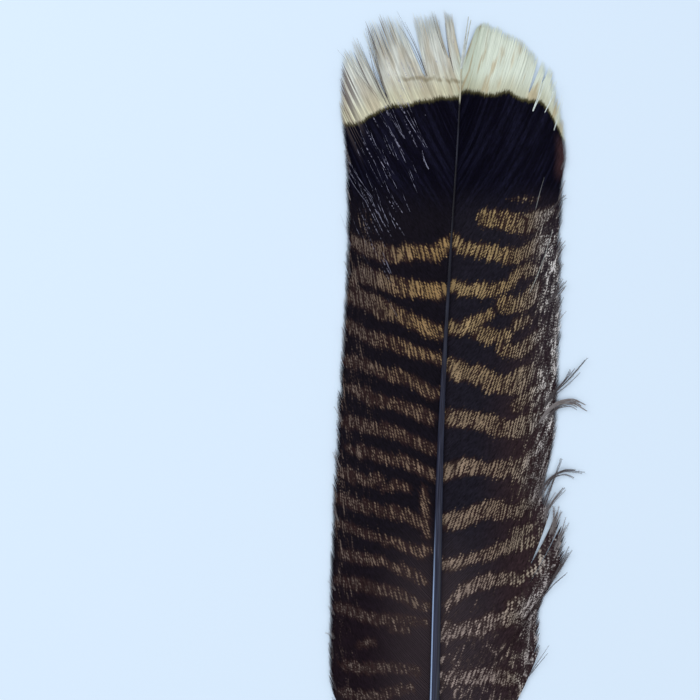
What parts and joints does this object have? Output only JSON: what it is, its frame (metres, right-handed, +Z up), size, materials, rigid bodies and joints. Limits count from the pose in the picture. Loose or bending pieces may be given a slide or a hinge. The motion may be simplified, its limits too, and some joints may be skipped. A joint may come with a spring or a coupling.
{
  "type": "turkey tail feather",
  "caption": "Broad tail feather with a cream tip, a black band and tan bars on dark brown vanes, lying flat with its upper side up.",
  "frame": {"origin": "middle of the feather's length and width, on the surface that it lies on", "axes": "+Y along the shaft from the quill to the tip, +Z up out of the feather's upper side, +X to the right seen from above"},
  "size_m": [0.0848, 0.36, 0.0054],
  "materials": {
    "horn": "smooth translucent horn, pale at the quill and blue-grey along the vanes",
    "barbs": "fine parallel barbs with a soft sheen, black and brown with tan bars and a cream tip",
    "down": "soft loose grey-brown fluff"
  },
  "bodies": {
    "root": {"shaft": "horn", "left_vane": "barbs", "right_vane": "barbs", "left_down": "down", "right_down": "down"}
  },
  "joints": []
}
